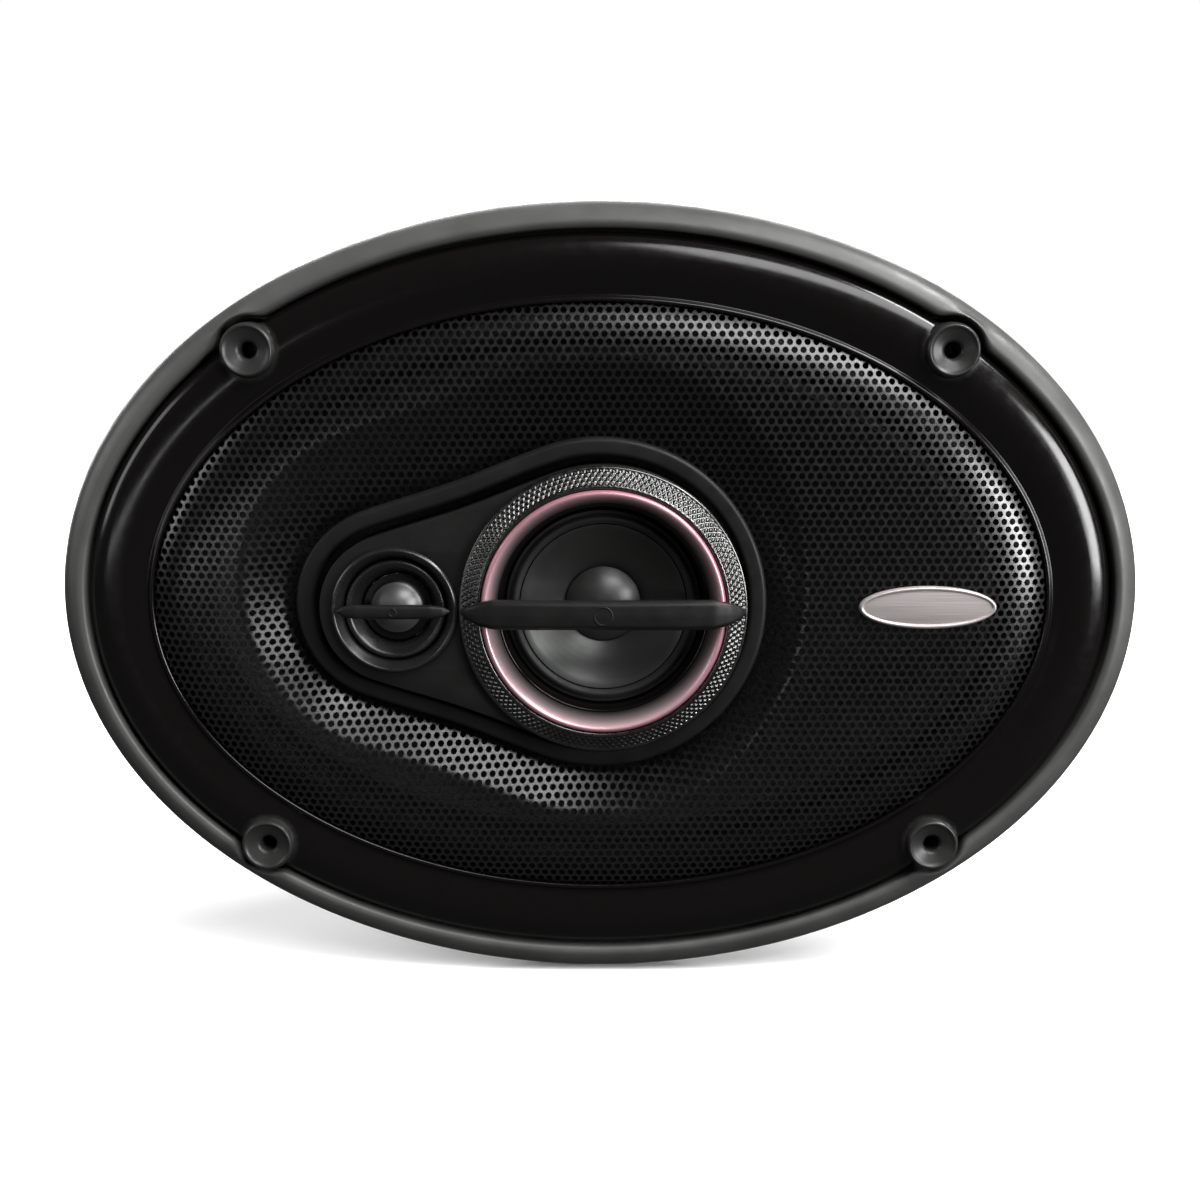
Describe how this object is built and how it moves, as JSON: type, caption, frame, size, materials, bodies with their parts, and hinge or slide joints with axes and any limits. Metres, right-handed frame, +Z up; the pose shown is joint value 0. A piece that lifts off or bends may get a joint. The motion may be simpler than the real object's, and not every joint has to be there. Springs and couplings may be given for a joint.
{
  "type": "coaxial car speaker",
  "caption": "Oval three-way coaxial car speaker with a perforated grille, a pear-shaped midrange and tweeter pod, a stamped steel basket and a ferrite motor.",
  "frame": {"origin": "centre of the panel mounting plane, which is the rear face of the steel flange, on the woofer's axis", "axes": "+Y points backward, from the grille to the magnet, so the speaker's front faces -Y; +X is along the oval's long axis and +Z is up"},
  "size_m": [0.238, 0.1056, 0.172],
  "materials": {
    "satin_grey_plastic": "satin, fine texture",
    "gloss_black_plastic": "piano gloss",
    "matte_black_plastic": "matte, fine texture",
    "black_painted_steel": "semi-gloss black paint",
    "badge_metal": "brushed, raised bright rim",
    "pink_metal": "pink anodised, polished",
    "dark_chrome": "knurled, dark plated",
    "cone_film": "smooth moulded film",
    "dome_film": "metallised film",
    "black_rubber": "matte rubber",
    "cone_paper": "pressed pulp with fibres",
    "zinc_steel": "zinc plated",
    "ferrite": "ground ferrite",
    "coil_former": "amber film",
    "copper": "enamelled copper wire",
    "spider_cloth": "resin-dipped woven cloth",
    "fibre_board": "phenolic fibre board",
    "tinned_brass": "tinned",
    "capacitor_sleeve": "shrink sleeve"
  },
  "bodies": {
    "frame": {"outer_trim_ring": "satin_grey_plastic", "grille_bezel": "gloss_black_plastic", "grille_mesh": "black_painted_steel", "badge_plate": "badge_metal", "pod_ring": "matte_black_plastic", "pod_housing": "matte_black_plastic", "pod_baffle": "matte_black_plastic", "mid_collar": "dark_chrome", "mid_trim_ring": "pink_metal", "mid_frame": "gloss_black_plastic", "mid_surround": "black_rubber", "mid_top_plate": "zinc_steel", "mid_magnet": "ferrite", "mid_yoke": "zinc_steel", "mid_bridge_bar": "matte_black_plastic", "tweeter_housing": "matte_black_plastic", "tweeter_waveguide": "matte_black_plastic", "tweeter_magnet": "ferrite", "tweeter_yoke": "zinc_steel", "tweeter_bar": "matte_black_plastic", "centre_post": "zinc_steel", "post_bolt": "tinned_brass", "basket": "black_painted_steel", "surround_gasket": "black_rubber", "woofer_surround": "black_rubber", "spider": "spider_cloth", "top_plate": "zinc_steel", "basket_rivet_1": "tinned_brass", "basket_rivet_2": "tinned_brass", "basket_rivet_3": "tinned_brass", "basket_rivet_4": "tinned_brass", "ferrite_magnet": "ferrite", "pole_yoke": "zinc_steel", "magnet_boot": "black_rubber", "terminal_board": "fibre_board", "terminal_positive": "tinned_brass", "terminal_negative": "tinned_brass", "board_rivet_1": "tinned_brass", "board_rivet_2": "tinned_brass", "capacitor_mid": "capacitor_sleeve", "capacitor_tweeter": "capacitor_sleeve", "tinsel_lead_1": "copper", "tinsel_lead_2": "copper", "pod_feed_lead": "black_rubber"},
    "woofer_moving": {"woofer_cone": "cone_paper", "voice_coil_former": "coil_former", "voice_coil_winding": "copper"},
    "midrange_moving": {"mid_cone": "cone_film", "mid_dust_dome": "dome_film", "mid_voice_coil": "coil_former"},
    "tweeter_moving": {"tweeter_dome": "dome_film", "tweeter_voice_coil": "coil_former"}
  },
  "joints": [
    {"name": "woofer_stroke", "type": "slide", "parent": "frame", "child": "woofer_moving", "axis": [0, -1, 0], "range_m": [-0.004, 0.004], "stiffness_N_per_m": 2500, "deforming": ["woofer_surround", "spider", "tinsel_lead_1", "tinsel_lead_2", "pod_feed_lead"]},
    {"name": "midrange_stroke", "type": "slide", "parent": "frame", "child": "midrange_moving", "axis": [0, -1, 0], "range_m": [-0.0008, 0.0008], "stiffness_N_per_m": 800, "deforming": ["mid_surround"]},
    {"name": "tweeter_stroke", "type": "slide", "parent": "frame", "child": "tweeter_moving", "axis": [0, -1, 0], "range_m": [-0.0002, 0.0002], "stiffness_N_per_m": 500}
  ]
}
